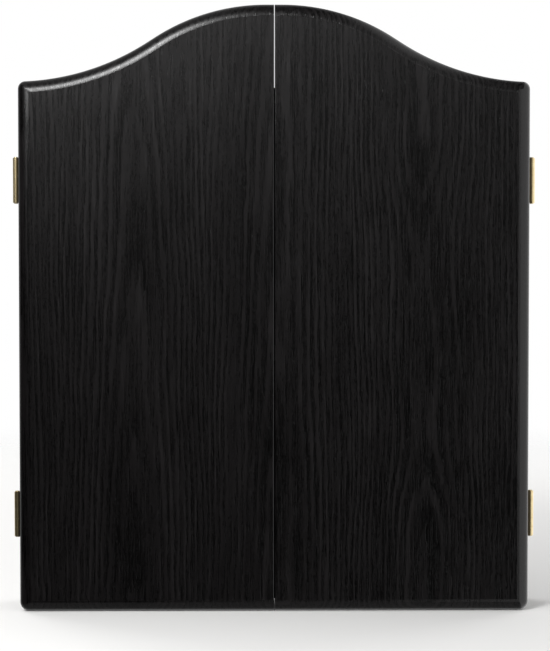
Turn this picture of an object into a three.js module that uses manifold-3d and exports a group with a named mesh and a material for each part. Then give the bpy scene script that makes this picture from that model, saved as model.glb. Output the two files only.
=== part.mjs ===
// Dart board cabinet: a shallow wall-hung box for a standard 451 mm dartboard, closed by a pair
// of arched, edge-moulded doors on brass butt hinges.
//
// Millimetres. +X is right, +Z is up, the doors face -Y and the wall is at +Y. The origin is on
// the wall face of the back panel, on the axis of the board's bull's-eye.
//
// Everything that is the same on both sides is built once, for the right-hand side, and
// placed in two groups; the left one is its mirror image.

import * as THREE from "three";
import { mergeVertices } from "three/addons/utils/BufferGeometryUtils.js";
import Module from "manifold-3d";

const wasm = await Module();
wasm.setup();

// ---------------------------------------------------------------- driving dimensions

// Pair of doors, seen from the front
const doorsHalfWidth = 256;
const doorBottom = -268;
const doorTop = 340; // the crown of the arch, at the middle
const meetingGap = 0.8; // between the two doors
const doorThickness = 16;

// The arch, from the middle outwards: a short flat, a convex arc, a straight, a concave arc
const crownHalfFlat = 8;
const crownRadius = 206;
const archSlope = THREE.MathUtils.degToRad(32.7); // of the straight between the two arcs
const archStraight = 9;
const shoulderRadius = 247;
const topCornerRadius = 7.5;
const bottomCornerRadius = 9;

// Edge moulding, on the front of the top, outer and bottom edges: a small step, then a
// round-over that starts and ends at the given turns from the face
const mouldingWidth = 11.5;
const mouldingDepth = 8.5;
const mouldingStep = 0.6;
const roundOverStart = THREE.MathUtils.degToRad(12);
const roundOverEnd = THREE.MathUtils.degToRad(80);

// Box
const boxHalfWidth = 253;
const boxHalfHeight = 258;
const boxDepth = 70;
const wallThickness = 15;
const backThickness = 6;
const rebateWidth = 7; // the lip that the back panel sits on, cut in all four walls
const backClearance = 0.3; // between the back panel and its rebate

// Holes in the back panel for the wall screws; 406 mm apart to meet studs at 16 inches
const wallScrewHalfSpan = 203;
const wallScrewHeight = 205;
const wallHoleRadius = 3.25;
const wallHoleCountersink = 5.5;

// Butt hinges: a leaf on the box, a leaf on the door, five knuckles, a loose pin
const hingeHeights = { upper: 165, lower: -171 };
const hingeAxisX = 259.2;
const leafThickness = 1;
const leafGap = 0.5; // between the closed leaves
const leafReach = 19.7; // from the hinge axis to the leaf's far edge
const leafStart = 3.4; // from the hinge axis to the leaf's near edge
const knuckleCount = 5;
const knuckleLength = 9;
const knuckleGap = 0.2;
const knuckleRadius = 3.1;
const knuckleBore = 1.85;
const pinRadius = 1.74;
const pinHeadRadius = 2.3;
const pinHeadThickness = 0.8;
const leafScrewInset = 12.7; // from the hinge axis
const leafScrewHeights = [13, -13];

// Screws
const countersunk = { head: 2.5, shank: 1.3, cone: 1, length: 11, tip: 2.5 };
const panHead = { head: 3.4, rim: 1.2, flat: 2.4, rise: 2.2, shank: 1.8, length: 7.4, tip: 1 };
const screwClearance = 0.3;
const screwHeadRecess = 0.1; // of a flush head below its surface

// Bracket that the dartboard hangs on: a steel strip bent into a low bridge, with a slot
const bracketHalfBridge = 26;
const bracketHalfWidth = 46;
const bracketBottom = -20;
const bracketTop = 24;
const bracketThickness = 2;
const bracketRise = 6; // clear height under the bridge
const slotRadius = 4;
const slotMouthHalfWidth = 11;
const slotMouthDepth = 9;
const bracketScrews = [
  [-36, 15],
  [36, 15],
  [-36, -11],
  [36, -11],
];

// Magnetic catches under the top wall, strike plates on the doors, bumpers below
const catchX = 30;
const catchBody = { halfWidth: 14, height: 12, front: 0.5, depth: 18 };
const catchFlange = { halfWidth: 22, height: 4, depth: 10, setback: 4, screw: 18 };
const magnet = { halfWidth: 9.7, height: 5.4, depth: 12.5, proud: 0.5, fromTop: 3.3 };
const magnetClearance = 0.3;
const strikeHalfWidth = 16;
const strikeHeight = 14;
const strikeThickness = 1.2;
const pad = { radius: 5, rim: 1.3, flat: 3.5, thickness: 2.2 };

// On the inside of each door: a scoreboard, and a rack with holes for three darts
const scoreboard = { inner: 28, outer: 214, bottom: -150, top: 190, thickness: 3 };
const rack = { inner: 132, outer: 222, bottom: -232, top: -212, depth: 18, nose: 4 };
const dartHoles = [149, 177, 205];
const dartHoleRadius = 4.2;

// How far a cutting tool runs past the face it enters by, and past a screw's head
const runOut = 1;
const headRunOut = 3;

// Facets
const arcStep = THREE.MathUtils.degToRad(3.6);
const cornerSteps = 3;
const roundSteps = 4;
const knuckleSides = 12;
const screwSides = 8;
const holeSides = 12;
const slotSteps = 8;
const noseSteps = 4;

// Corners closer than these are taken as one, in a solid and in an outline
const weld = 1e-4;
const sameCorner = 1e-3;

// ---------------------------------------------------------------- planes worked out from them

const boxFront = -boxDepth;
const hingeAxisY = boxFront - leafThickness - leafGap / 2;
const doorBack = boxFront - 2 * leafThickness - leafGap;
const doorFront = doorBack - doorThickness;
const innerHalfWidth = boxHalfWidth - wallThickness;
const innerHalfHeight = boxHalfHeight - wallThickness;
const backFront = -backThickness;
const bridgeBack = backFront - bracketRise;
const bridgeFront = bridgeBack - bracketThickness;

// ---------------------------------------------------------------- materials

const finish = (color, roughness, metalness) =>
  new THREE.MeshStandardMaterial({ color, roughness, metalness });

const blackWood = finish(0x1b1a19, 0.5, 0);
const blackBoard = finish(0x161615, 0.7, 0);
const slate = finish(0x20241f, 0.85, 0);
const brass = finish(0xc9a45a, 0.3, 1);
const steel = finish(0xb4b6b8, 0.35, 1);
const ferrite = finish(0x3a3a3c, 0.6, 0.2);
const whitePlastic = finish(0xe4e2dc, 0.45, 0);
const rubber = finish(0x2a2a2a, 0.9, 0);

// ---------------------------------------------------------------- solids

// A closed three.js geometry as a solid that can be joined and cut.
function solid(geometry) {
  const plain = geometry.clone();
  plain.deleteAttribute("normal");
  plain.deleteAttribute("uv");
  const merged = mergeVertices(plain, weld);
  const corners = merged.index.array;
  const triangles = [];
  for (let i = 0; i < corners.length; i += 3) {
    const [a, b, c] = corners.slice(i, i + 3);
    if (a !== b && b !== c && c !== a) triangles.push(a, b, c);
  }
  const vertProperties = merged.attributes.position.array;
  const triVerts = new Uint32Array(triangles);
  return new wasm.Manifold(new wasm.Mesh({ numProp: 3, vertProperties, triVerts }));
}

// A solid as a flat-shaded three.js geometry.
function surface(body) {
  const { vertProperties, triVerts } = body.getMesh();
  const indexed = new THREE.BufferGeometry();
  indexed.setAttribute("position", new THREE.BufferAttribute(vertProperties, 3));
  indexed.setIndex(new THREE.BufferAttribute(triVerts, 1));
  const geometry = indexed.toNonIndexed();
  geometry.computeVertexNormals();
  return geometry;
}

const cut = (geometry, tools) =>
  surface(tools.reduce((body, tool) => body.subtract(solid(tool)), solid(geometry)));

const join = (geometries) =>
  surface(geometries.map(solid).reduce((body, next) => body.add(next)));

// A box given by its low and high faces along X, Y and Z.
const block = ([x0, x1], [y0, y1], [z0, z1]) =>
  new THREE.BoxGeometry(x1 - x0, y1 - y0, z1 - z0).translate(
    (x0 + x1) / 2,
    (y0 + y1) / 2,
    (z0 + z1) / 2,
  );

// A piece turned about Y, from profile points [radius, y] in order of rising y.
const turned = (profile, sides) =>
  new THREE.LatheGeometry(profile.map(([r, y]) => new THREE.Vector2(r, y)), sides);

const cylinder = (radius, from, to, sides) =>
  turned([[0, from], [radius, from], [radius, to], [0, to]], sides);

const alongZ = (geometry) => geometry.rotateX(Math.PI / 2); // +Y turns to +Z
const facingBack = (geometry) => geometry.rotateX(Math.PI); // +Y turns to -Y

// ---------------------------------------------------------------- screws

// A countersunk wood screw: its flat head is at y = 0 and it points along +Y.
const countersunkScrew = () => {
  const { head, shank, cone, length, tip } = countersunk;
  return turned([[0, 0], [head, 0], [shank, cone], [shank, length - tip], [0, length]], screwSides);
};

// The hole that such a screw sits in, carried on in front of the head.
const countersunkHole = () => {
  const { head, shank, cone, length } = countersunk;
  const wide = head + screwClearance;
  const narrow = shank + screwClearance;
  const end = length + screwClearance;
  const start = -headRunOut;
  const profile = [[0, start], [wide, start], [wide, 0], [narrow, cone], [narrow, end], [0, end]];
  return turned(profile, screwSides);
};

// A pan-head screw: the underside of its head is at y = 0 and it points along +Y.
const panHeadScrew = () => {
  const { head, rim, flat, rise, shank, length, tip } = panHead;
  const crown = [[0, -rise], [flat, -rise], [head, -rim], [head, 0]];
  return turned([...crown, [shank, 0], [shank, length - tip], [0, length]], screwSides);
};

const panHeadHole = () =>
  cylinder(panHead.shank + screwClearance, -headRunOut, panHead.length + screwClearance, screwSides);

// ---------------------------------------------------------------- the doors' outline

// Points of an arc about a centre, from one angle to another, both ends included.
function arc(centre, radius, from, to, steps) {
  return Array.from({ length: steps + 1 }, (_, i) => {
    const angle = from + ((to - from) * i) / steps;
    const x = centre.x + radius * Math.cos(angle);
    return new THREE.Vector2(x, centre.y + radius * Math.sin(angle));
  });
}

const crownCentre = new THREE.Vector2(crownHalfFlat, doorTop - crownRadius);
const slopeNormal = new THREE.Vector2(Math.sin(archSlope), Math.cos(archSlope));
const slopeAlong = new THREE.Vector2(Math.cos(archSlope), -Math.sin(archSlope));
const shoulderCentre = crownCentre
  .clone()
  .addScaledVector(slopeNormal, crownRadius + shoulderRadius)
  .addScaledVector(slopeAlong, archStraight);

// The outline of the closed pair of doors, moved in by a distance, anticlockwise from the
// front. Outlines at every distance have the same number of points; a corner whose radius is
// used up keeps its points, all at the sharp corner.
function doorsOutline(inset) {
  const low = Math.max(bottomCornerRadius, inset);
  const high = Math.max(topCornerRadius, inset);
  const side = doorsHalfWidth;
  const lowCentre = new THREE.Vector2(side - low, doorBottom + low);
  const reach = shoulderRadius + high; // between the centres of the top corner and the shoulder
  const across = side - high - shoulderCentre.x;
  const rise = Math.sqrt(reach ** 2 - across ** 2);
  const highCentre = new THREE.Vector2(side - high, shoulderCentre.y - rise);
  const upward = Math.atan2(rise, shoulderCentre.x - highCentre.x);
  const slopeAngle = Math.PI / 2 - archSlope;

  const concaveSteps = Math.round((upward - slopeAngle) / arcStep);
  const convexSteps = Math.round(archSlope / arcStep);
  const [hollowStart, hollowEnd] = [upward + Math.PI, slopeAngle + Math.PI];
  const hollow = arc(shoulderCentre, shoulderRadius + inset, hollowStart, hollowEnd, concaveSteps);
  const rightHalf = [
    ...arc(lowCentre, low - inset, -Math.PI / 2, 0, cornerSteps),
    ...arc(highCentre, high - inset, 0, upward, cornerSteps),
    ...hollow.slice(1),
    ...arc(crownCentre, crownRadius - inset, slopeAngle, Math.PI / 2, convexSteps),
  ];
  const leftHalf = rightHalf.map((p) => new THREE.Vector2(-p.x, p.y)).reverse();
  return [...rightHalf, ...leftHalf];
}

// The moulding's cross-section: how far in from the edge, and how far back from the face.
function mouldingProfile() {
  const [across, along] = [Math.sin(roundOverEnd), Math.cos(roundOverEnd)];
  const wide = (mouldingWidth - mouldingStep / 2) / (across - Math.sin(roundOverStart));
  const tall = (mouldingDepth - mouldingStep) / (Math.cos(roundOverStart) - along);
  const round = Array.from({ length: roundSteps + 1 }, (_, i) => {
    const turn = roundOverEnd + ((roundOverStart - roundOverEnd) * i) / roundSteps;
    return {
      inset: wide * (across - Math.sin(turn)),
      depth: mouldingDepth - tall * (Math.cos(turn) - along),
    };
  });
  return [...round, { inset: mouldingWidth, depth: 0 }];
}

// Both doors as one moulded panel.
function mouldedPanel() {
  const sections = [{ inset: 0, depth: doorThickness }, ...mouldingProfile()];
  const rings = sections.map(({ inset, depth }) =>
    doorsOutline(inset).map((p) => new THREE.Vector3(p.x, doorFront + depth, p.y)),
  );
  const triangles = [];
  for (let r = 0; r + 1 < rings.length; r++) {
    rings[r].forEach((here, i) => {
      const next = (i + 1) % rings[r].length;
      const [hereUp, nextUp] = [rings[r + 1][i], rings[r + 1][next]];
      triangles.push(here, rings[r][next], nextUp, here, nextUp, hereUp);
    });
  }
  const cap = (ring, outward) => {
    const points = ring.filter((p, i) => p.distanceTo(ring.at(i - 1)) > sameCorner);
    const flat = points.map((p) => new THREE.Vector2(p.x, p.z));
    for (const face of THREE.ShapeUtils.triangulateShape(flat, [])) {
      const corners = face.map((k) => points[k]);
      triangles.push(...(outward ? corners : corners.reverse()));
    }
  };
  cap(rings[0], false);
  cap(rings.at(-1), true);
  return new THREE.BufferGeometry().setFromPoints(triangles);
}

// ---------------------------------------------------------------- pieces

const group = new THREE.Group();
group.name = "dart_board_cabinet";

function add(parent, name, geometry, material, x = 0, y = 0, z = 0) {
  const mesh = new THREE.Mesh(geometry, material);
  mesh.name = name;
  mesh.position.set(x, y, z);
  parent.add(mesh);
}

function backPanel() {
  const halfWidth = innerHalfWidth + rebateWidth - backClearance;
  const halfHeight = innerHalfHeight + rebateWidth - backClearance;
  const slab = block([-halfWidth, halfWidth], [backFront, 0], [-halfHeight, halfHeight]);
  const wallHoles = [-1, 1].flatMap((x) =>
    [-1, 1].map((z) =>
      turned(
        [
          [0, backFront - runOut],
          [wallHoleCountersink, backFront - runOut],
          [wallHoleCountersink, backFront],
          [wallHoleRadius, backFront + wallHoleCountersink - wallHoleRadius],
          [wallHoleRadius, runOut],
          [0, runOut],
        ],
        holeSides,
      ).translate(x * wallScrewHalfSpan, 0, z * wallScrewHeight),
    ),
  );
  const bracketHoles = bracketScrews.map(([x, z]) =>
    panHeadHole().translate(x, backFront - bracketThickness, z),
  );
  return cut(slab, [...wallHoles, ...bracketHoles]);
}

// The space that the back panel's edges sit in, cut from the walls.
const backRebate = () =>
  block(
    [-innerHalfWidth - rebateWidth, innerHalfWidth + rebateWidth],
    [backFront - backClearance, runOut],
    [-innerHalfHeight - rebateWidth, innerHalfHeight + rebateWidth],
  );

function sidePanel() {
  const slab = block([innerHalfWidth, boxHalfWidth], [boxFront, 0], [-boxHalfHeight, boxHalfHeight]);
  const screws = leafScrews().map(([x, z]) => countersunkHole().translate(x, boxLeafHead, z));
  return cut(slab, [backRebate(), ...screws]);
}

// The top or bottom wall; up is 1 or -1.
function crossPanel(up) {
  const faces = [up * innerHalfHeight, up * boxHalfHeight].sort((a, b) => a - b);
  const slab = block([-innerHalfWidth, innerHalfWidth], [boxFront, 0], faces);
  if (up < 0) return cut(slab, [backRebate()]);
  const screws = [-1, 1].flatMap((side) =>
    catchScrews.map((x) => alongZ(countersunkHole()).translate(side * x, catchScrewY, catchScrewHead)),
  );
  return cut(slab, [backRebate(), ...screws]);
}

// The bracket's bent section, extruded up, less the slot and the screw holes.
function bracket() {
  const profile = new THREE.Shape();
  const inside = bracketHalfBridge - bracketThickness;
  const footFront = backFront - bracketThickness;
  const rightHalf = [
    [bracketHalfWidth, backFront],
    [bracketHalfWidth, footFront],
    [bracketHalfBridge, footFront],
    [bracketHalfBridge, bridgeFront],
  ];
  const underside = [
    [-inside, backFront],
    [-inside, bridgeBack],
    [inside, bridgeBack],
    [inside, backFront],
  ];
  const leftHalf = rightHalf.map(([x, y]) => [-x, y]).reverse();
  const corners = [...rightHalf, ...leftHalf, ...underside];
  profile.setFromPoints(corners.map(([x, y]) => new THREE.Vector2(x, y)));
  const height = bracketTop - bracketBottom;
  const strip = new THREE.ExtrudeGeometry(profile, { depth: height, bevelEnabled: false });
  strip.translate(0, 0, bracketBottom);

  const slot = new THREE.Shape();
  slot.absarc(0, 0, slotRadius, Math.PI, 2 * Math.PI);
  slot.lineTo(slotRadius, bracketTop - slotMouthDepth);
  slot.lineTo(slotMouthHalfWidth, bracketTop + runOut);
  slot.lineTo(-slotMouthHalfWidth, bracketTop + runOut);
  slot.lineTo(-slotRadius, bracketTop - slotMouthDepth);
  const through = { depth: bracketRise, bevelEnabled: false, curveSegments: slotSteps };
  const slotTool = alongZ(new THREE.ExtrudeGeometry(slot, through));
  slotTool.translate(0, bridgeBack + bracketRise / 2, 0);
  const holes = bracketScrews.map(([x, z]) => panHeadHole().translate(x, footFront, z));
  return cut(strip, [slotTool, ...holes]);
}

// ---------------------------------------------------------------- hinges

const halfLeafGap = leafGap / 2;
const hingeHalfHeight = (knuckleCount * knuckleLength) / 2;
const boxLeafHead = hingeAxisY + halfLeafGap + screwHeadRecess;
const doorLeafHead = hingeAxisY - halfLeafGap - screwHeadRecess;

// Where the leaf screws go, as [x, z], for both hinges of a side.
const leafScrews = () =>
  Object.values(hingeHeights).flatMap((height) =>
    leafScrewHeights.map((z) => [hingeAxisX - leafScrewInset, height + z]),
  );

// One leaf about the hinge's own axis. back is 1 for the box's leaf and -1 for the door's.
function hingeLeaf(back) {
  const faces = [back * halfLeafGap, back * (halfLeafGap + leafThickness)].sort((a, b) => a - b);
  const plate = block([-leafReach, -leafStart], faces, [-hingeHalfHeight, hingeHalfHeight]);
  const knuckles = [];
  for (let k = back > 0 ? 0 : 1; k < knuckleCount; k += 2) {
    const low = -hingeHalfHeight + k * knuckleLength + knuckleGap / 2;
    const high = low + knuckleLength - knuckleGap;
    knuckles.push(alongZ(cylinder(knuckleRadius, low, high, knuckleSides)));
    knuckles.push(block([-leafStart - leafThickness, -knuckleRadius / 2], faces, [low, high]));
  }
  const boreEnd = hingeHalfHeight + runOut;
  const bore = alongZ(cylinder(knuckleBore, -boreEnd, boreEnd, knuckleSides));
  const head = back * (halfLeafGap + screwHeadRecess);
  const holes = leafScrewHeights.map((z) => {
    const hole = back > 0 ? countersunkHole() : facingBack(countersunkHole());
    return hole.translate(-leafScrewInset, head, z);
  });
  return cut(join([plate, ...knuckles]), [bore, ...holes]);
}

function hingePin() {
  const shaft = hingeHalfHeight + knuckleGap;
  const end = shaft + pinHeadThickness;
  const profile = [
    [0, -end],
    [pinHeadRadius, -end],
    [pinHeadRadius, -shaft],
    [pinRadius, -shaft],
    [pinRadius, shaft],
    [pinHeadRadius, shaft],
    [pinHeadRadius, end],
    [0, end],
  ];
  return alongZ(turned(profile, knuckleSides));
}

function addHinge(parent, name, height) {
  const hinge = new THREE.Group();
  hinge.position.set(hingeAxisX, hingeAxisY, height);
  parent.add(hinge);
  add(hinge, `${name}_box_leaf`, hingeLeaf(1), brass);
  add(hinge, `${name}_door_leaf`, hingeLeaf(-1), brass);
  add(hinge, `${name}_pin`, hingePin(), brass);
  leafScrewHeights.forEach((z, i) => {
    const boxHead = boxLeafHead - hingeAxisY;
    const doorHead = doorLeafHead - hingeAxisY;
    add(hinge, `${name}_box_screw_${i + 1}`, countersunkScrew(), brass, -leafScrewInset, boxHead, z);
    const doorScrew = facingBack(countersunkScrew());
    add(hinge, `${name}_door_screw_${i + 1}`, doorScrew, brass, -leafScrewInset, doorHead, z);
  });
}

// ---------------------------------------------------------------- catch and strike

const catchTop = innerHalfHeight;
const catchFace = boxFront - catchBody.front;
const flangeFront = boxFront + catchFlange.setback;
const catchScrews = [catchX - catchFlange.screw, catchX + catchFlange.screw];
const catchScrewY = flangeFront + catchFlange.depth / 2;
const catchScrewHead = catchTop - catchFlange.height + screwHeadRecess;
const magnetTop = catchTop - magnet.fromTop;
const magnetFace = catchFace - magnet.proud;
const strikeTop = catchTop;
const strikeScrewZ = strikeTop - strikeHeight / 2;

function catchHousing() {
  const across = (halfWidth) => [catchX - halfWidth, catchX + halfWidth];
  const body = block(
    across(catchBody.halfWidth),
    [catchFace, catchFace + catchBody.depth],
    [catchTop - catchBody.height, catchTop],
  );
  const flanges = block(
    across(catchFlange.halfWidth),
    [flangeFront, flangeFront + catchFlange.depth],
    [catchTop - catchFlange.height, catchTop],
  );
  const pocket = block(
    across(magnet.halfWidth + magnetClearance),
    [catchFace - runOut, magnetFace + magnet.depth + magnetClearance],
    [magnetTop - magnet.height - magnetClearance, magnetTop + magnetClearance],
  );
  const screws = catchScrews.map((x) =>
    alongZ(countersunkHole()).translate(x, catchScrewY, catchScrewHead),
  );
  return cut(join([body, flanges]), [pocket, ...screws]);
}

const catchMagnet = () =>
  block(
    [catchX - magnet.halfWidth, catchX + magnet.halfWidth],
    [magnetFace, magnetFace + magnet.depth],
    [magnetTop - magnet.height, magnetTop],
  );

const strikeHead = doorBack + strikeThickness - screwHeadRecess;
const strikeHole = () => facingBack(countersunkHole()).translate(catchX, strikeHead, strikeScrewZ);

const strikePlate = () =>
  cut(
    block(
      [catchX - strikeHalfWidth, catchX + strikeHalfWidth],
      [doorBack, doorBack + strikeThickness],
      [strikeTop - strikeHeight, strikeTop],
    ),
    [strikeHole()],
  );

// ---------------------------------------------------------------- doors

function door() {
  const half = block(
    [meetingGap / 2, doorsHalfWidth + runOut],
    [doorFront - runOut, doorBack + runOut],
    [doorBottom - runOut, doorTop + runOut],
  );
  const slab = surface(solid(mouldedPanel()).intersect(solid(half)));
  const hingeHoles = leafScrews().map(([x, z]) =>
    facingBack(countersunkHole()).translate(x, doorLeafHead, z),
  );
  return cut(slab, [strikeHole(), ...hingeHoles]);
}

function dartRack() {
  const section = new THREE.Shape();
  const front = doorBack + rack.depth;
  section.moveTo(doorBack, rack.bottom);
  section.lineTo(front - rack.nose, rack.bottom);
  section.absarc(front - rack.nose, rack.bottom + rack.nose, rack.nose, -Math.PI / 2, 0);
  section.absarc(front - rack.nose, rack.top - rack.nose, rack.nose, 0, Math.PI / 2);
  section.lineTo(doorBack, rack.top);
  const bar = new THREE.ExtrudeGeometry(section, {
    depth: rack.outer - rack.inner,
    bevelEnabled: false,
    curveSegments: noseSteps,
  });
  // The section is drawn as (y, z), so its x, y and depth become the rack's y, z and x.
  const turn = new THREE.Matrix4().set(0, 0, 1, rack.inner, 1, 0, 0, 0, 0, 1, 0, 0, 0, 0, 0, 1);
  bar.applyMatrix4(turn);
  const holes = dartHoles.map((x) => {
    const hole = cylinder(dartHoleRadius, rack.bottom - runOut, rack.top + runOut, holeSides);
    return alongZ(hole).translate(x, doorBack + rack.depth / 2, 0);
  });
  return cut(bar, holes);
}

const scoreboardPanel = () =>
  block(
    [scoreboard.inner, scoreboard.outer],
    [doorBack, doorBack + scoreboard.thickness],
    [scoreboard.bottom, scoreboard.top],
  );

// A low dome stuck on the front edge of the bottom wall.
function bumper() {
  const { radius, rim, flat, thickness } = pad;
  const profile = [[0, 0], [radius, 0], [radius, rim], [flat, thickness], [0, thickness]];
  return facingBack(turned(profile, holeSides));
}

// ---------------------------------------------------------------- assembly

add(group, "back_panel", backPanel(), blackBoard);
add(group, "top_panel", crossPanel(1), blackWood);
add(group, "bottom_panel", crossPanel(-1), blackWood);
add(group, "dartboard_bracket", bracket(), steel);
bracketScrews.forEach(([x, z], i) => {
  const footFront = backFront - bracketThickness;
  add(group, `dartboard_bracket_screw_${i + 1}`, panHeadScrew(), steel, x, footFront, z);
});

for (const [side, mirror] of [["left", -1], ["right", 1]]) {
  const half = new THREE.Group();
  half.scale.x = mirror;
  group.add(half);

  add(half, `${side}_side_panel`, sidePanel(), blackWood);
  add(half, `${side}_catch_housing`, catchHousing(), whitePlastic);
  add(half, `${side}_catch_magnet`, catchMagnet(), ferrite);
  catchScrews.forEach((x, i) => {
    const screw = alongZ(countersunkScrew());
    add(half, `${side}_catch_screw_${i + 1}`, screw, steel, x, catchScrewY, catchScrewHead);
  });
  add(half, `${side}_bumper`, bumper(), rubber, catchX, boxFront, -boxHalfHeight + wallThickness / 2);

  add(half, `${side}_door`, door(), blackWood);
  add(half, `${side}_strike_plate`, strikePlate(), steel);
  const strikeScrew = facingBack(countersunkScrew());
  add(half, `${side}_strike_screw`, strikeScrew, steel, catchX, strikeHead, strikeScrewZ);
  add(half, `${side}_scoreboard`, scoreboardPanel(), slate);
  add(half, `${side}_dart_rack`, dartRack(), blackWood);

  for (const [place, height] of Object.entries(hingeHeights)) {
    addHinge(half, `${side}_${place}_hinge`, height);
  }
}

export default group;
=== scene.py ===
"""Dart board cabinet: an open box for a dartboard, closed by a pair of arched, edge-moulded
doors on brass butt hinges. Metres; +X is right, +Z is up, the doors face -Y.

Each piece is built here as a fine mesh in the place of its CAD node, and rides on its body.
"""

import math

import bmesh
import bpy
from mathutils import Matrix, Vector


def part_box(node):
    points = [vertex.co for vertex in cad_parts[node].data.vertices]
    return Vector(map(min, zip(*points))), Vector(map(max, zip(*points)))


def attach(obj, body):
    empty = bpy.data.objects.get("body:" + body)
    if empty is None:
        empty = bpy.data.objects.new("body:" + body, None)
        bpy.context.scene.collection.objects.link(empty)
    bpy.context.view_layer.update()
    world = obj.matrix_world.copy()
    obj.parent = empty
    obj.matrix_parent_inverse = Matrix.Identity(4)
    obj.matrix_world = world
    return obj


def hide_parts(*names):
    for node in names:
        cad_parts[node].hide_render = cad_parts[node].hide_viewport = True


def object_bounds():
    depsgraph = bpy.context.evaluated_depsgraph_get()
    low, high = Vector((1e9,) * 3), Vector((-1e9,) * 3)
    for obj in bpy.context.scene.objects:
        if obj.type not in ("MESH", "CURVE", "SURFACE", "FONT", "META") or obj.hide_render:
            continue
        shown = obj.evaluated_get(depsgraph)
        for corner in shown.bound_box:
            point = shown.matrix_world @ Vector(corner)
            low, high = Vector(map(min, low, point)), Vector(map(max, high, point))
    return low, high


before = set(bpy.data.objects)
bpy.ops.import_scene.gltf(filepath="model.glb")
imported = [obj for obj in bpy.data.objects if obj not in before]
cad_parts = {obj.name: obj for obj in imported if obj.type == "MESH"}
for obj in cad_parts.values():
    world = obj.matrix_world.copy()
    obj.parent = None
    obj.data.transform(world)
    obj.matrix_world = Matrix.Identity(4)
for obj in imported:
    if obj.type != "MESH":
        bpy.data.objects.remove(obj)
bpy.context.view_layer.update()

SIDES = {"left": -1, "right": 1}
CABINET = "cabinet"

# ---------------------------------------------------------------- sizes, as in the CAD source

# The doors' arch, from the middle outwards, and their corners
CROWN_HALF_FLAT = 0.008
CROWN_RADIUS = 0.206
ARCH_SLOPE = math.radians(32.7)
ARCH_STRAIGHT = 0.009
SHOULDER_RADIUS = 0.247
TOP_CORNER_RADIUS = 0.0075
BOTTOM_CORNER_RADIUS = 0.009

# The doors' edge moulding, and the easing of their plain edges
MOULDING_WIDTH = 0.0115
MOULDING_DEPTH = 0.0085
MOULDING_STEP = 0.0006
MOULDING_START = math.radians(12)  # how far the round-over is turned from the face where it starts
MOULDING_END = math.radians(80)  # and where it ends at the edge
DOOR_EASING = 0.0006
MEETING_RADIUS = 0.0012  # of the arrises of the edges where the doors meet

# Hinges
HINGE_HEIGHTS = {"upper": 0.165, "lower": -0.171}
KNUCKLES = 5
KNUCKLE_GAP = 0.0002
KNUCKLE_RADIUS = 0.0031
KNUCKLE_BORE = 0.00185
PIN_RADIUS = 0.00174
PIN_HEAD_THICKNESS = 0.0008
LEAF_THICKNESS = 0.001
HALF_LEAF_GAP = 0.00025
LEAF_REACH = 0.0197
LEAF_START = 0.0034
LEAF_SCREW_INSET = 0.0127
LEAF_SCREW_HEIGHTS = (0.013, -0.013)
SCREW_RECESS = 0.0001

# Screws
COUNTERSUNK = {"head": 0.0025, "shank": 0.0013, "cone": 0.001, "length": 0.011, "tip": 0.0025}
PAN_HEAD = {"head": 0.0034, "shank": 0.0018, "rise": 0.0022, "length": 0.0074, "tip": 0.001}
SCREW_CLEARANCE = 0.0003
THREAD_ROOT = 0.72  # of the shank's radius
THREAD_PITCH = {"countersunk": 0.0009, "pan": 0.0011}

# Holes and slots
WALL_HOLE_RADIUS = 0.00325
WALL_HOLE_COUNTERSINK = 0.0055
WALL_HOLES = [(x * 0.203, z * 0.205) for x in (-1, 1) for z in (-1, 1)]
REBATE_WIDTH = 0.007
REBATE_DEPTH = 0.0063
BRACKET_HALF_BRIDGE = 0.026
BRACKET_THICKNESS = 0.002
BRACKET_SLOT_RADIUS = 0.004
BRACKET_MOUTH_HALF_WIDTH = 0.011
BRACKET_MOUTH_DEPTH = 0.009
DART_HOLES = (0.149, 0.177, 0.205)
DART_HOLE_RADIUS = 0.0042

# ---------------------------------------------------------------- mesh helpers

PLANES = {"X": (1, 2, 0), "Y": (0, 2, 1), "Z": (0, 1, 2)}  # two coordinates across, one along
CLEAR = 0.001  # how far a cutter runs past what it cuts
MERGE = 1e-7  # points nearer than this are one


def spot(axis, a, b, along):
    """A point given by its two coordinates across an axis and its place along it."""
    point = [0.0, 0.0, 0.0]
    for place, value in zip(PLANES[axis], (a, b, along)):
        point[place] = value
    return Vector(point)


def closed(bm):
    """Merges what coincides and turns every face outwards."""
    bmesh.ops.remove_doubles(bm, verts=bm.verts, dist=MERGE)
    bmesh.ops.recalc_face_normals(bm, faces=bm.faces)
    return bm


def prism(outline, axis, low, high):
    """An outline of points (a, b), carried along an axis from low to high."""
    bm = bmesh.new()
    rings = [[bm.verts.new(spot(axis, a, b, h)) for a, b in outline] for h in (low, high)]
    for ring in rings:
        bm.faces.new(ring)
    for i in range(len(outline)):
        j = (i + 1) % len(outline)
        bm.faces.new((rings[0][i], rings[0][j], rings[1][j], rings[1][i]))
    return closed(bm)


def slab(low, high):
    """A box between two corners."""
    outline = [(low[0], low[1]), (high[0], low[1]), (high[0], high[1]), (low[0], high[1])]
    return prism(outline, "Z", low[2], high[2])


def turned(profile, axis="Y", at=(0, 0, 0), sides=40):
    """A piece turned about an axis through a point: profile is points (radius, along)."""
    bm = bmesh.new()
    rings = []
    for radius, along in profile:
        turns = [2 * math.pi * i / sides for i in range(sides if radius else 1)]
        ring = [(radius * math.cos(t), radius * math.sin(t)) for t in turns]
        rings.append([bm.verts.new(spot(axis, a, b, along)) for a, b in ring])
    for here, there in zip(rings, rings[1:]):
        for i in range(sides):
            j = (i + 1) % sides
            near = [here[i % len(here)], here[j % len(here)]]
            far = [there[j % len(there)], there[i % len(there)]]
            bm.faces.new(list(dict.fromkeys(near + far)))  # a tip gives a triangle
    for ring in (rings[0], rings[-1]):
        if len(ring) > 1:
            bm.faces.new(ring)
    bmesh.ops.translate(bm, verts=bm.verts, vec=Vector(at))
    return closed(bm)


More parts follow.
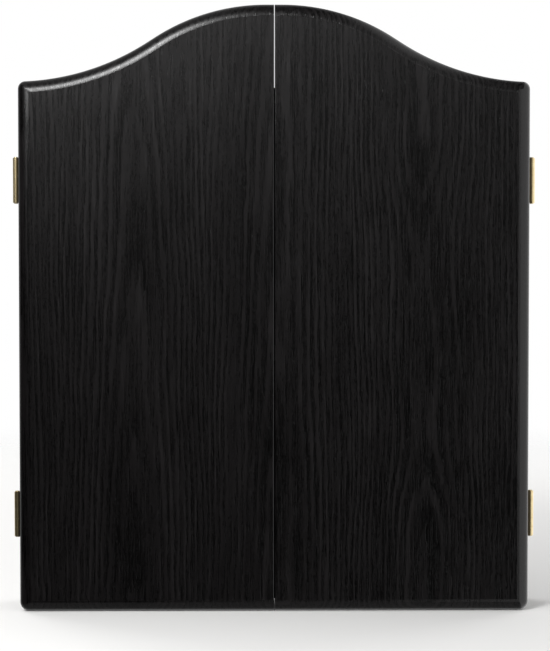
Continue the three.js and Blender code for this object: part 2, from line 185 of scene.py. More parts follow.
def arc(centre, radius, start, end, steps):
    """Points of an arc, both ends included; the angles are in radians."""
    angles = [start + (end - start) * i / steps for i in range(steps + 1)]
    return [(centre[0] + radius * math.cos(t), centre[1] + radius * math.sin(t)) for t in angles]


def quarter(steps):
    """The angles of a quarter turn in equal steps, without its start."""
    return [math.pi / 2 * i / steps for i in range(1, steps + 1)]


def rounded(points, radii, steps=6):
    """A closed outline with each corner rounded to its own radius; 0 leaves it sharp."""
    made = []
    for i, (corner, radius) in enumerate(zip(points, radii)):
        here = Vector(corner)
        if radius == 0:
            made.append(tuple(here))
            continue
        back = (Vector(points[i - 1]) - here).normalized()
        ahead = (Vector(points[(i + 1) % len(points)]) - here).normalized()
        half = back.angle(ahead) / 2
        centre = here + (back + ahead).normalized() * radius / math.sin(half)
        start, end = ((here + side * radius / math.tan(half) - centre) for side in (back, ahead))
        for k in range(steps + 1):
            ray = start.normalized().slerp(end.normalized(), k / steps)
            made.append(tuple(centre + ray * radius))
    return made


def boolean(target, tools, operation="DIFFERENCE"):
    """target cut by, or joined with, each of the tools."""
    scene = bpy.context.scene.collection
    made = []
    for bm in [target, *tools]:
        mesh = bpy.data.meshes.new("solid")
        bm.to_mesh(mesh)
        bm.free()
        made.append(bpy.data.objects.new("solid", mesh))
        scene.objects.link(made[-1])
    for tool in made[1:]:
        step = made[0].modifiers.new("step", "BOOLEAN")
        step.object = tool
        step.operation = operation
        step.solver = "EXACT"
    graph = bpy.context.evaluated_depsgraph_get()
    mesh = bpy.data.meshes.new_from_object(made[0].evaluated_get(graph))
    result = bmesh.new()
    result.from_mesh(mesh)
    for o in made:
        bpy.data.meshes.remove(o.data)
    bpy.data.meshes.remove(mesh)
    return result


def mirrored(bm):
    """The mirror image of a mesh across X = 0."""
    bmesh.ops.scale(bm, verts=bm.verts, vec=(-1, 1, 1))
    bmesh.ops.reverse_faces(bm, faces=bm.faces)
    return bm


def moved(bm, x=0.0, y=0.0, z=0.0):
    bmesh.ops.translate(bm, verts=bm.verts, vec=(x, y, z))
    return bm


def facing_back(bm):
    """Turned half round about X: +Y goes to -Y."""
    bmesh.ops.rotate(bm, verts=bm.verts, cent=(0, 0, 0), matrix=Matrix.Rotation(math.pi, 3, "X"))
    return bm


def facing_up(bm):
    """Turned a quarter round about X: +Y goes to +Z."""
    bmesh.ops.rotate(bm, verts=bm.verts, cent=(0, 0, 0), matrix=Matrix.Rotation(math.pi / 2, 3, "X"))
    return bm


def middle_of(node):
    """The middle of a CAD node's box."""
    low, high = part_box(node)
    return (low + high) / 2


SHARP = math.radians(38)


def shaded(name, bm, material):
    """A mesh of one material, smooth but for its sharp edges."""
    mesh = bpy.data.meshes.new(name)
    bm.to_mesh(mesh)
    bm.free()
    mesh.polygons.foreach_set("use_smooth", [True] * len(mesh.polygons))
    mesh.set_sharp_from_angle(angle=SHARP)
    mesh.materials.append(material)
    return mesh


def piece(name, bm, material, body, nodes=(), easing=0.0):
    """Makes a mesh into a piece on a body, standing for its CAD nodes, with its edges eased."""
    made = bpy.data.objects.new(name, shaded(name, bm, material))
    bpy.context.scene.collection.objects.link(made)
    if easing:
        bevel = made.modifiers.new("easing", "BEVEL")
        bevel.width = easing
        bevel.segments = 2
        bevel.limit_method = "ANGLE"
        bevel.angle_limit = SHARP
    made.modifiers.new("flat faces", "WEIGHTED_NORMAL").keep_sharp = True
    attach(made, body)
    if nodes:
        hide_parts(*nodes)
    return made


# ---------------------------------------------------------------- shader helpers


class Shader:
    """A node material with a Principled BSDF, and short calls to add nodes to it. A keyword
    gives a socket a plain value."""

    def __init__(self, name, **sockets):
        self.material = bpy.data.materials.new(name)
        self.material.use_nodes = True
        self.tree = self.material.node_tree
        self.surface = next(n for n in self.tree.nodes if n.type == "BSDF_PRINCIPLED")
        for socket, value in sockets.items():
            self.surface.inputs[socket.replace("_", " ")].default_value = value
        coordinates = self.tree.nodes.new("ShaderNodeTexCoord").outputs
        self.place = coordinates["Object"]
        self.normal = coordinates["Normal"]

    def node(self, kind, inputs, **settings):
        made = self.tree.nodes.new("ShaderNode" + kind)
        for key, value in settings.items():
            setattr(made, key, value)
        for key, value in inputs.items():
            if isinstance(value, bpy.types.NodeSocket):
                self.tree.links.new(value, made.inputs[key])
            else:
                made.inputs[key].default_value = value
        return made

    def math(self, operation, *values, clamp=False):
        inputs = dict(enumerate(values))
        return self.node("Math", inputs, operation=operation, use_clamp=clamp).outputs[0]

    def total(self, start, *terms):
        """start plus each weight times its value."""
        for weight, value in terms:
            start = self.math("MULTIPLY_ADD", value, weight, start)
        return start

    def split(self, vector):
        return self.node("SeparateXYZ", {0: vector}).outputs

    def join(self, x, y, z):
        return self.node("CombineXYZ", {0: x, 1: y, 2: z}).outputs[0]

    def scaled(self, scale, vector=None):
        vector = self.place if vector is None else vector
        return self.node("Mapping", {"Vector": vector, "Scale": scale}).outputs[0]

    def noise(self, scale, detail=2.0, roughness=0.5, vector=None):
        """Noise of about 0 to 1; scale is features per metre along X, Y and Z."""
        inputs = {"Vector": self.scaled(scale, vector), "Scale": 1.0}
        inputs.update({"Detail": detail, "Roughness": roughness})
        return self.node("TexNoise", inputs).outputs["Fac"]

    def span(self, value, low, high, to_low=0.0, to_high=1.0, smooth=False):
        """value from low..high taken to to_low..to_high, and held at both ends."""
        kind = "SMOOTHSTEP" if smooth else "LINEAR"
        inputs = {"Value": value, "From Min": low, "From Max": high}
        inputs.update({"To Min": to_low, "To Max": to_high})
        return self.node("MapRange", inputs, interpolation_type=kind).outputs[0]

    def mix(self, share, one, other):
        """A colour between two colours."""
        made = self.tree.nodes.new("ShaderNodeMix")
        made.data_type = "RGBA"
        sockets = {s.identifier: s for s in made.inputs}
        wanted = {"Factor_Float": share, "A_Color": one, "B_Color": other}
        for key, value in wanted.items():
            if isinstance(value, bpy.types.NodeSocket):
                self.tree.links.new(value, sockets[key])
            else:
                sockets[key].default_value = value if key == "Factor_Float" else (*value, 1.0)
        return next(s for s in made.outputs if s.identifier == "Result_Color")

    def set(self, socket, value):
        self.tree.links.new(value, self.surface.inputs[socket])

    def bump(self, height, depth, strength=1.0):
        made = self.node("Bump", {"Height": height, "Distance": depth, "Strength": strength})
        self.set("Normal", made.outputs[0])


# ---------------------------------------------------------------- materials


def black_wood(name, flame, lean=0.0, bow=0.0, ripple=0.0, along="Z", gloss=0.30, contrast=1.0):
    """Black satin paint over open grain. The figure is a plank cut near flat through growth
    rings: flame is the X of the plank's middle, and lean, bow and ripple say how the cut's
    depth from the heart of the tree changes up the plank, and so where its flames open.
    gloss is the paint's roughness, and contrast spreads the figure's light and dark."""
    s = Shader(name)
    x, y, z = s.split(s.place)
    if along == "X":
        x, z = z, x
    plank = 0.146
    ring = 0.0046
    heart = 0.130
    ripple_length = 0.19

    # The plank a point is on, and its distance from that plank's middle
    turn = s.math("DIVIDE", s.math("SUBTRACT", x, flame - plank / 2), plank)
    beside = s.math("ABSOLUTE", s.math("FLOOR", turn), clamp=True)
    across = s.math("MULTIPLY", s.math("SUBTRACT", s.math("FRACT", turn), 0.5), plank)
    wander = s.noise((9, 9, 3.2), detail=2)
    waver = s.noise((70, 70, 26), detail=3, roughness=0.6)
    across = s.total(across, (0.020, s.math("SUBTRACT", wander, 0.5)))
    across = s.total(across, (0.0030, s.math("SUBTRACT", waver, 0.5)))

    # Depth of the cut from the heart, changing up the plank
    middle = s.math("SUBTRACT", 1.0, beside)
    bowed = s.math("MULTIPLY", s.math("MULTIPLY", z, z), middle)
    rippled = s.math("COSINE", s.math("MULTIPLY", z, 2 * math.pi / ripple_length))
    rippled = s.math("MULTIPLY", rippled, middle)
    drift = s.math("SUBTRACT", s.noise((2, 2, 7), detail=1), 0.5)
    depth = s.total(heart, (lean, z), (bow, bowed), (ripple, rippled), (0.0035, drift), (1.0, y))
    square = s.math("ADD", s.math("MULTIPLY", across, across), s.math("MULTIPLY", depth, depth))
    radius = s.math("SQRT", square)
    jitter = s.noise((170, 170, 12), detail=3, roughness=0.65)
    rings = s.math("FRACT", s.total(0.0, (1 / ring, radius), (0.9, jitter)))
    strong = s.span(s.noise((75, 75, 3.5), detail=2), 0.32, 0.66, 0.12, 1.0)
    early = s.math("MULTIPLY", s.math("SUBTRACT", 1.0, s.span(rings, 0.0, 0.55, smooth=True)), strong)
    darker = s.span(rings, 0.46, 0.74, smooth=True)
    late = s.math("SUBTRACT", darker, s.span(rings, 0.84, 1.0, smooth=True))
    late = s.math("MULTIPLY", late, strong)

    # Open pores: short grooves along the grain, most of them in the early wood
    grain_place = s.join(s.total(x, (0.0012, waver)), y, z)
    pores = s.noise((820, 820, 48), detail=2, roughness=0.6, vector=grain_place)
    few = s.span(early, 0.0, 0.8, 0.56, 0.49)
    pores = s.span(s.math("SUBTRACT", pores, few), 0.0, 0.10)
    fibre = s.noise((520, 520, 17), detail=5, roughness=0.78, vector=grain_place)
    fibre = s.span(fibre, 0.30, 0.70, -1.0, 1.0)
    speck = s.math("SUBTRACT", s.noise((900, 900, 240), detail=3, roughness=0.7), 0.5)
    cloud = s.math("SUBTRACT", s.noise((24, 24, 5), detail=3), 0.5)

    # Light and dark, spread about the figure's mean
    mean = 0.42
    tone = s.total(0.36, (-0.16, early), (0.38, late), (-0.18, pores), (0.36, fibre))
    tone = s.total(tone, (0.90, speck), (0.65, cloud))
    tone = s.span(s.total(mean, (contrast, s.math("SUBTRACT", tone, mean))), 0.0, 1.0)
    s.set("Base Color", s.mix(tone, (0.0003, 0.0002, 0.0002), (0.0056, 0.0044, 0.0048)))
    s.set("Roughness", s.span(tone, 0.0, 1.0, gloss - 0.06, gloss + 0.07))

    # Paint lies thicker and smoother on rounded edges than on flat faces.
    sides = [s.math("ABSOLUTE", part) for part in s.split(s.normal)]
    flat = s.math("MAXIMUM", s.math("MAXIMUM", sides[0], sides[1]), sides[2])
    grooves = s.total(0.5, (-0.26, pores), (-0.08, early), (0.10, fibre))
    s.bump(grooves, 0.00016, s.span(flat, 0.95, 0.99, 0.4, 1.0))
    return s.material


def brass():
    s = Shader("polished brass", Metallic=1.0)
    blotch = s.noise((160, 160, 160), detail=4, roughness=0.6)
    brushed = s.noise((2600, 2600, 120), detail=3, roughness=0.6)
    s.set("Base Color", s.mix(s.span(blotch, 0.35, 0.7), (0.84, 0.70, 0.42), (0.74, 0.59, 0.32)))
    rough = s.math("ADD", 0.26, s.math("MULTIPLY", brushed, 0.10))
    s.set("Roughness", s.math("ADD", rough, s.span(blotch, 0.55, 0.8, 0.0, 0.10)))
    s.bump(brushed, 0.00001)
    return s.material


def zinc():
    s = Shader("zinc plate", Metallic=1.0)
    spangle = s.noise((420, 420, 420), detail=3)
    rolled = s.noise((90, 1500, 1500), detail=2)
    s.set("Base Color", s.mix(s.span(spangle, 0.3, 0.7), (0.60, 0.61, 0.62), (0.72, 0.73, 0.73)))
    s.set("Roughness", s.math("ADD", 0.2, s.math("MULTIPLY", spangle, 0.24)))
    s.bump(rolled, 0.00004)
    return s.material


def ferrite():
    s = Shader("ferrite")
    grit = s.noise((1600, 1600, 1600), detail=4, roughness=0.7)
    s.set("Base Color", s.mix(grit, (0.030, 0.030, 0.032), (0.075, 0.074, 0.075)))
    s.set("Roughness", s.span(grit, 0.2, 0.8, 0.5, 0.75))
    s.bump(grit, 0.00008)
    return s.material


def catch_plastic():
    s = Shader("moulded white plastic")
    skin = s.noise((900, 900, 900), detail=2)
    tint = s.noise((40, 40, 40), detail=2)
    s.set("Base Color", s.mix(tint, (0.70, 0.69, 0.65), (0.78, 0.77, 0.73)))
    s.set("Roughness", s.span(skin, 0.2, 0.8, 0.30, 0.46))
    s.bump(skin, 0.00003)
    return s.material


def rubber():
    s = Shader("black rubber")
    grain = s.noise((2200, 2200, 2200), detail=3)
    s.set("Base Color", s.mix(grain, (0.014, 0.014, 0.015), (0.030, 0.030, 0.031)))
    s.set("Roughness", s.span(grain, 0.2, 0.8, 0.72, 0.92))
    s.bump(grain, 0.00006)
    return s.material


def back_board():
    """Hardboard painted matt black: a fine pebble from the roller over a smooth sheet."""
    s = Shader("painted hardboard")
    pebble = s.noise((520, 520, 520), detail=4, roughness=0.65)
    cloud = s.noise((12, 12, 12), detail=3)
    s.set("Base Color", s.mix(cloud, (0.0075, 0.0073, 0.0070), (0.0125, 0.0120, 0.0115)))
    s.set("Roughness", s.math("ADD", 0.46, s.math("MULTIPLY", pebble, 0.22)))
    s.bump(pebble, 0.00012)
    return s.material


def chalkboard(side):
    """Chalkboard paint with wiped-out chalk and ruled lines: a border, a line down the middle,
    one across the head, and faint lines for the scores."""
    low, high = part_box(f"{side}_scoreboard")
    s = Shader(f"{side} chalkboard")
    x, y, z = s.split(s.place)
    border = 0.007
    half_line = 0.0008
    middle = (low.x + high.x) / 2
    head = high.z - 0.040
    pitch = 0.024

    def rule(value, at):
        away = s.math("ABSOLUTE", s.math("SUBTRACT", value, at))
        return s.math("SUBTRACT", 1.0, s.span(away, half_line * 0.6, half_line))

    def within(value, start, end):
        away = s.math("ABSOLUTE", s.math("SUBTRACT", value, (start + end) / 2))
        return s.math("LESS_THAN", away, (end - start) / 2 - border + half_line * 0.9)

    below = s.math("LESS_THAN", z, head)
    row = s.math("PINGPONG", s.math("SUBTRACT", head, z), pitch / 2)
    # The folded distance is 0 on a line and pitch / 2 between two lines.
    faint = s.math("SUBTRACT", 1.0, s.span(row, 0.00025, 0.0005))
    faint = s.math("MULTIPLY", s.math("MULTIPLY", faint, below), 0.35)
    line = s.math("MAXIMUM", faint, rule(z, head))
    for at in (low.x + border, middle, high.x - border):
        line = s.math("MAXIMUM", line, rule(x, at))
    for at in (low.z + border, high.z - border):
        line = s.math("MAXIMUM", line, rule(z, at))
    for value, start, end in ((x, low.x, high.x), (z, low.z, high.z)):
        line = s.math("MULTIPLY", line, within(value, start, end))
    worn = s.span(s.noise((700, 700, 700), detail=3), 0.25, 0.5)
    line = s.math("MULTIPLY", line, worn)
    wiped = s.noise((26, 26, 7), detail=5, roughness=0.65)
    haze = s.math("MULTIPLY", s.span(wiped, 0.42, 0.85), 0.3)
    tooth = s.noise((1500, 1500, 1500), detail=3)
    ground = s.mix(haze, (0.010, 0.013, 0.012), (0.12, 0.125, 0.12))
    s.set("Base Color", s.mix(line, ground, (0.55, 0.55, 0.52)))
    s.set("Roughness", s.span(tooth, 0.2, 0.8, 0.72, 0.95))
    s.bump(tooth, 0.00006)
    return s.material


DOOR_WOOD = {
    "left": black_wood("left door wood", flame=-0.141, lean=0.030),
    "right": black_wood("right door wood", flame=0.150, bow=-0.13, ripple=-0.0018, contrast=1.35),
}
UPRIGHT_WOOD = black_wood("upright black wood", flame=0.25, lean=0.03, gloss=0.36)
CROSS_WOOD = black_wood("crosswise black wood", flame=0.25, lean=0.03, along="X", gloss=0.36)
BRASS = brass()
ZINC = zinc()
FERRITE = ferrite()
WHITE_PLASTIC = catch_plastic()
RUBBER = rubber()
BACK_BOARD = back_board()

# ---------------------------------------------------------------- doors


def door_outline(inset, low, high):
    """The right-hand door's outline moved in by a distance, from its foot at the meeting edge
    round the outer corners to the crown. Every outline has the same number of points."""
    foot = max(BOTTOM_CORNER_RADIUS, inset)
    top = max(TOP_CORNER_RADIUS, inset)
    crown = Vector((CROWN_HALF_FLAT, high.z - CROWN_RADIUS))
    normal = Vector((math.sin(ARCH_SLOPE), math.cos(ARCH_SLOPE)))
    slope = Vector((math.cos(ARCH_SLOPE), -math.sin(ARCH_SLOPE)))
    shoulder = crown + normal * (CROWN_RADIUS + SHOULDER_RADIUS) + slope * ARCH_STRAIGHT
    reach = SHOULDER_RADIUS + top
    corner_x = high.x - top
    corner = Vector((corner_x, shoulder.y - math.sqrt(reach**2 - (corner_x - shoulder.x) ** 2)))
    upward = math.atan2(shoulder.y - corner.y, shoulder.x - corner.x)
    slope_angle = math.pi / 2 - ARCH_SLOPE
    hollow_from, hollow_to = upward + math.pi, slope_angle + math.pi
    corner_steps, arch_steps = 10, 36
    return [
        (low.x, low.z + inset),
        *arc((high.x - foot, low.z + foot), foot - inset, -math.pi / 2, 0, corner_steps),
        *arc(corner, top - inset, 0, upward, corner_steps),
        *arc(shoulder, SHOULDER_RADIUS + inset, hollow_from, hollow_to, arch_steps)[1:],
        *arc(crown, CROWN_RADIUS - inset, slope_angle, math.pi / 2, arch_steps),
        (low.x, high.z - inset),
    ]


def moulding_sections(thickness):
    """The moulded edge as (inset, depth from the face), from the back face to the front one:
    a round-over that stops short of flat, then a small step up to the face."""
    ease = DOOR_EASING
    turns = [0, *quarter(3)]
    back = [(ease * (1 - math.sin(t)), thickness - ease * (1 - math.cos(t))) for t in turns]
    steps = 20
    turns = [MOULDING_END + (MOULDING_START - MOULDING_END) * i / steps for i in range(steps + 1)]
    edge_sin, edge_cos = math.sin(MOULDING_END), math.cos(MOULDING_END)
    wide = (MOULDING_WIDTH - MOULDING_STEP / 2) / (edge_sin - math.sin(MOULDING_START))
    tall = (MOULDING_DEPTH - MOULDING_STEP) / (math.cos(MOULDING_START) - edge_cos)
    round_over = [
        (wide * (edge_sin - math.sin(t)), MOULDING_DEPTH - tall * (math.cos(t) - edge_cos))
        for t in turns
    ]
    soft = MOULDING_STEP / 4
    step = [
        (MOULDING_WIDTH - soft * 1.4, soft * 2.6),
        (MOULDING_WIDTH - soft * 0.7, soft),
        (MOULDING_WIDTH, soft * 0.3),
        (MOULDING_WIDTH + soft * 1.2, 0.0),
    ]
    return back + round_over + step


def door_mesh(low, high):
    """The right-hand door: outlines at each section of the moulding, joined and closed."""
    bm = bmesh.new()
    rings = []
    for inset, depth in moulding_sections(high.y - low.y):
        outline = door_outline(inset, low, high)
        rings.append([bm.verts.new((x, low.y + depth, z)) for x, z in outline])
    for here, there in zip(rings, rings[1:]):
        for i in range(len(here) - 1):
            bm.faces.new((here[i], here[i + 1], there[i + 1], there[i]))
    bm.faces.new(rings[0])
    bm.faces.new(rings[-1])
    bm.faces.new([ring[0] for ring in rings] + [ring[-1] for ring in reversed(rings)])
    closed(bm)
    bmesh.ops.dissolve_degenerate(bm, dist=MERGE, edges=bm.edges)
    return boolean(bm, [arris_cutter(low, high, out) for out in (-1, 1)])


def arris_cutter(low, high, out):
    """What a cutter takes off to round the meeting edge's arris at the face (out is -1) or at
    the back (out is 1) of the right-hand door."""
    y = low.y if out < 0 else high.y
    centre = (low.x + MEETING_RADIUS, y - out * MEETING_RADIUS)
    section = [
        (low.x - CLEAR, y + out * CLEAR),
        (centre[0], y + out * CLEAR),
        *arc(centre, MEETING_RADIUS, out * math.pi / 2, out * math.pi, 8),
        (low.x - CLEAR, centre[1]),
    ]
    return prism(section, "Z", low.z - CLEAR, high.z + CLEAR)


def make_doors():
    low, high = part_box("right_door")
    for side in SIDES:
        bm = door_mesh(low, high)
        if side == "left":
            mirrored(bm)
        door = f"{side}_door"
        piece(f"{door}_panel", bm, DOOR_WOOD[side], door, [door])


# ---------------------------------------------------------------- box


def make_box():
    """Four boards, rebated at the back for the back panel."""
    low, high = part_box("top_panel")
    inner_x = high.x + REBATE_WIDTH
    inner_z = low.z + REBATE_WIDTH
    rebate = ((-inner_x, -REBATE_DEPTH, -inner_z), (inner_x, CLEAR, inner_z))
    for node, wood in {
        "left_side_panel": UPRIGHT_WOOD,
        "right_side_panel": UPRIGHT_WOOD,
        "top_panel": CROSS_WOOD,
        "bottom_panel": CROSS_WOOD,
    }.items():
        board = boolean(slab(*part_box(node)), [slab(*rebate)])
        piece(f"{node}_board", board, wood, CABINET, [node], easing=0.0006)


def make_back_panel():
    """A sheet with four countersunk holes for the wall's screws."""
    low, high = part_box("back_panel")
    wide, narrow = WALL_HOLE_COUNTERSINK, WALL_HOLE_RADIUS
    profile = [
        (0, low.y - CLEAR),
        (wide, low.y - CLEAR),
        (wide, low.y),
        (narrow, low.y + wide - narrow),
        (narrow, CLEAR),
        (0, CLEAR),
    ]
    holes = [turned(profile, at=(x, 0, z)) for x, z in WALL_HOLES]
    board = boolean(slab(low, high), holes)
    piece("back_panel_sheet", board, BACK_BOARD, CABINET, ["back_panel"], easing=0.0003)


# ---------------------------------------------------------------- screws


def cross_recess(width, depth):
    """The cutter for a Phillips recess in a head that faces -Y at y = 0."""
    blade = width * 0.17
    taper = 0.35  # of an arm's length, at the bottom of the recess
    above = 0.0004
    corners = ((-1, -1), (1, -1), (1, 1), (-1, 1))
    arms = []
    for a, b, narrow_a, narrow_b in (
        (width / 2, blade / 2, taper, 1),
        (blade / 2, width / 2, 1, taper),
    ):
        bm = bmesh.new()
        top = [bm.verts.new((x * a, -above, z * b)) for x, z in corners]
        end = [bm.verts.new((x * a * narrow_a, depth, z * b * narrow_b)) for x, z in corners]
        bm.faces.new(top)
        bm.faces.new(end)
        for i in range(4):
            j = (i + 1) % 4
            bm.faces.new((top[i], top[j], end[j], end[i]))
        arms.append(closed(bm))
    return arms


def threads(shank, start, end, pitch):
    """Profile points of a thread's crests and roots between two places along the shank."""
    made = []
    along = start
    while along < end:
        made.append((shank * THREAD_ROOT, along))
        made.append((shank, along + pitch / 2))
        along += pitch
    return made


def countersunk_screw():
    """A flat head at y = 0 with its shank along +Y."""
    head, shank, cone, length, tip = COUNTERSUNK.values()
    rim, neck, plain = 0.0001, 0.0006, 0.001
    profile = [
        (0, 0),
        (head - rim, 0),
        (head, rim),
        (shank, cone),
        (shank, cone + neck),
        *threads(shank, cone + plain, length - tip, THREAD_PITCH["countersunk"]),
        (shank * THREAD_ROOT, length - tip),
        (0, length),
    ]
    return boolean(turned(profile, sides=28), cross_recess(0.0030, 0.0009))


def pan_head_screw():
    """A domed head on y = 0 with its shank along +Y."""
    head, shank, rise, length, tip = PAN_HEAD.values()
    skirt = 0.35  # of the rise
    plain = 0.0008
    end = 0.6  # of the shank's radius
    dome = [(head * math.sin(t), -rise * (skirt + (1 - skirt) * math.cos(t))) for t in quarter(8)]
    profile = [
        (0, -rise),
        *dome,
        (head, 0),
        (shank, 0),
        *threads(shank, plain, length - tip, THREAD_PITCH["pan"]),
        (shank * end, length - tip),
        (0, length),
    ]
    recess = [moved(arm, y=-rise) for arm in cross_recess(0.0036, 0.0012)]
    return boolean(turned(profile, sides=32), recess)


def countersunk_hole():
    """The cutter for a countersunk screw's hole."""
    wide = COUNTERSUNK["head"] + SCREW_CLEARANCE / 2
    narrow = COUNTERSUNK["shank"] + SCREW_CLEARANCE / 2
    cone = COUNTERSUNK["cone"]
    above, below = -0.003, 0.02
    profile = [(0, above), (wide, above), (wide, 0), (narrow, cone), (narrow, below), (0, below)]
    return turned(profile, sides=32)


def make_screws():
    """One mesh for each metal and way a screw faces, shared by all the screws of that kind."""
    meshes = {
        ("in", "brass"): shaded("brass screw in", countersunk_screw(), BRASS),
        ("out", "brass"): shaded("brass screw out", facing_back(countersunk_screw()), BRASS),
        ("out", "zinc_steel"): shaded("screw out", facing_back(countersunk_screw()), ZINC),
        ("up", "zinc_steel"): shaded("screw up", facing_up(countersunk_screw()), ZINC),
        ("pan", "zinc_steel"): shaded("pan screw", pan_head_screw(), ZINC),
    }

    def screw(node, kind, slot, body):
        """Puts a screw where its CAD node is, with its head at the node's own."""
        low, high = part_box(node)
        at = (low + high) / 2
        if kind == "up":
            at.z = low.z
        else:
            at.y = {"in": low.y, "out": high.y, "pan": low.y + PAN_HEAD["rise"]}[kind]
        made = bpy.data.objects.new(f"{node}_cross_head", meshes[kind, slot])
        made.location = at
        bpy.context.scene.collection.objects.link(made)
        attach(made, body)
        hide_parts(node)

    for side in SIDES:
        door = f"{side}_door"
        for place in HINGE_HEIGHTS:
            for i in (1, 2):
                hinge = f"{side}_{place}_hinge"
                screw(f"{hinge}_box_screw_{i}", "in", "brass", CABINET)
                screw(f"{hinge}_door_screw_{i}", "out", "brass", door)
        for i in (1, 2):
            screw(f"{side}_catch_screw_{i}", "up", "zinc_steel", CABINET)
        screw(f"{side}_strike_screw", "out", "zinc_steel", door)
    for i in (1, 2, 3, 4):
        screw(f"dartboard_bracket_screw_{i}", "pan", "zinc_steel", CABINET)


# ---------------------------------------------------------------- hinges


def knuckle_section(back):
    """The end of a leaf rolled round the pin, with the seam where its tip meets the leaf.
    back is 1 for the leaf on the box and -1 for the one on the door."""
    near, far = HALF_LEAF_GAP, HALF_LEAF_GAP + LEAF_THICKNESS
    outer, bore = KNUCKLE_RADIUS, KNUCKLE_BORE
    tip = math.radians(-172)
    outside = math.pi - math.asin(far / outer)
    inside = math.pi - math.asin(near / bore)
    root = -LEAF_START - 0.0001  # a little way into the leaf
    points = [
        (root, far),
        *arc((0, 0), outer, outside, tip, 44),
        *arc((0, 0), bore, tip, inside, 36),
        (root, near),
    ]
    return [(x, y * back) for x, y in points]


def leaf_mesh(back, half_height):
    """One leaf of the right-hand hinge, about the hinge's own axis."""
    faces = sorted((back * HALF_LEAF_GAP, back * (HALF_LEAF_GAP + LEAF_THICKNESS)))
    corner = 0.0012
    outline = rounded(
        [
            (-LEAF_REACH, -half_height),
            (-LEAF_START, -half_height),
            (-LEAF_START, half_height),
            (-LEAF_REACH, half_height),
        ],
        [corner, 0, 0, corner],
    )
    plate = prism(outline, "Y", *faces)
    length = 2 * half_height / KNUCKLES
    rolled = []
    for k in range(0 if back > 0 else 1, KNUCKLES, 2):
        start = -half_height + k * length + KNUCKLE_GAP / 2
        rolled.append(prism(knuckle_section(back), "Z", start, start + length - KNUCKLE_GAP))
    plate = boolean(plate, rolled, "UNION")
    head = back * (HALF_LEAF_GAP + SCREW_RECESS)
    holes = []
    for z in LEAF_SCREW_HEIGHTS:
        hole = countersunk_hole() if back > 0 else facing_back(countersunk_hole())
        holes.append(moved(hole, -LEAF_SCREW_INSET, head, z))
    return boolean(plate, holes)


def pin_mesh(low, high):
    """The pin: a shaft with a domed button at each end."""
    half = (high.z - low.z) / 2
    shaft = half - PIN_HEAD_THICKNESS
    button = (high.x - low.x) / 2
    rim, crown = 0.0003, 0.0005
    dome = [(button * math.sin(t), shaft + rim + crown * math.cos(t)) for t in quarter(6)]
    lower = [(0, -half), *[(r, -h) for r, h in dome], (button, -shaft), (PIN_RADIUS, -shaft)]
    upper = [(PIN_RADIUS, shaft), (button, shaft), *reversed(dome), (0, half)]
    return turned(lower + upper, "Z", sides=36)


def make_hinges():
    for place, height in HINGE_HEIGHTS.items():
        for side, sign in SIDES.items():
            name = f"{side}_{place}_hinge"
            low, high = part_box(f"{name}_pin")
            axis = (low + high) / 2
            axis.z = height
            leaf_low, leaf_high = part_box(f"{name}_box_leaf")
            half = (leaf_high.z - leaf_low.z) / 2
            for part, back, body in (("box_leaf", 1, CABINET), ("door_leaf", -1, f"{side}_door")):
                bm = leaf_mesh(back, half)
                if sign < 0:
                    mirrored(bm)
                moved(bm, *axis)
                node = f"{name}_{part}"
                piece(f"{node}_rolled", bm, BRASS, body, [node], easing=0.00015)
            pin = moved(pin_mesh(low, high), *axis)
            piece(f"{name}_pin_button", pin, BRASS, CABINET, [f"{name}_pin"])


# ---------------------------------------------------------------- board bracket


def make_bracket():
    """A bent strip that stands off the back panel, with a slot for the dartboard's screw."""
    low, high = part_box("dartboard_bracket")
    back, front = high.y, low.y
    foot = back - BRACKET_THICKNESS
    bend = 0.0016
    inner_bend = 0.0006
    half, outer = BRACKET_HALF_BRIDGE, high.x
    inside, under_bridge = half - BRACKET_THICKNESS, front + BRACKET_THICKNESS
    right = [(outer, back), (outer, foot), (half, foot), (half, front)]
    right_bends = [0.0004, 0.0006, inner_bend, bend]
    under = [(-inside, back), (-inside, under_bridge), (inside, under_bridge), (inside, back)]
    left = [(-x, y) for x, y in reversed(right)]
    section = rounded(
        right + left + under,
        right_bends + right_bends[::-1] + [bend, inner_bend, inner_bend, bend],
        steps=5,
    )
    strip = prism(section, "Z", low.z, high.z)
    slot = [
        *arc((0, 0), BRACKET_SLOT_RADIUS, math.pi, 2 * math.pi, 24),
        (BRACKET_SLOT_RADIUS, high.z - BRACKET_MOUTH_DEPTH),
        (BRACKET_MOUTH_HALF_WIDTH, high.z + CLEAR),
        (-BRACKET_MOUTH_HALF_WIDTH, high.z + CLEAR),
        (-BRACKET_SLOT_RADIUS, high.z - BRACKET_MOUTH_DEPTH),
    ]
    tools = [prism(slot, "Y", front - CLEAR, under_bridge + CLEAR)]
    hole, through = PAN_HEAD["shank"] + SCREW_CLEARANCE, 0.02
    profile = [(0, -through), (hole, -through), (hole, through), (0, through)]
    for i in (1, 2, 3, 4):
        x, _, z = middle_of(f"dartboard_bracket_screw_{i}")
        tools.append(turned(profile, at=(x, 0, z), sides=28))
    strip = boolean(strip, tools)
    nodes = ["dartboard_bracket"]
    piece("dartboard_bracket_plate", strip, ZINC, CABINET, nodes, easing=0.0002)


# ---------------------------------------------------------------- catches, strikes and bumpers


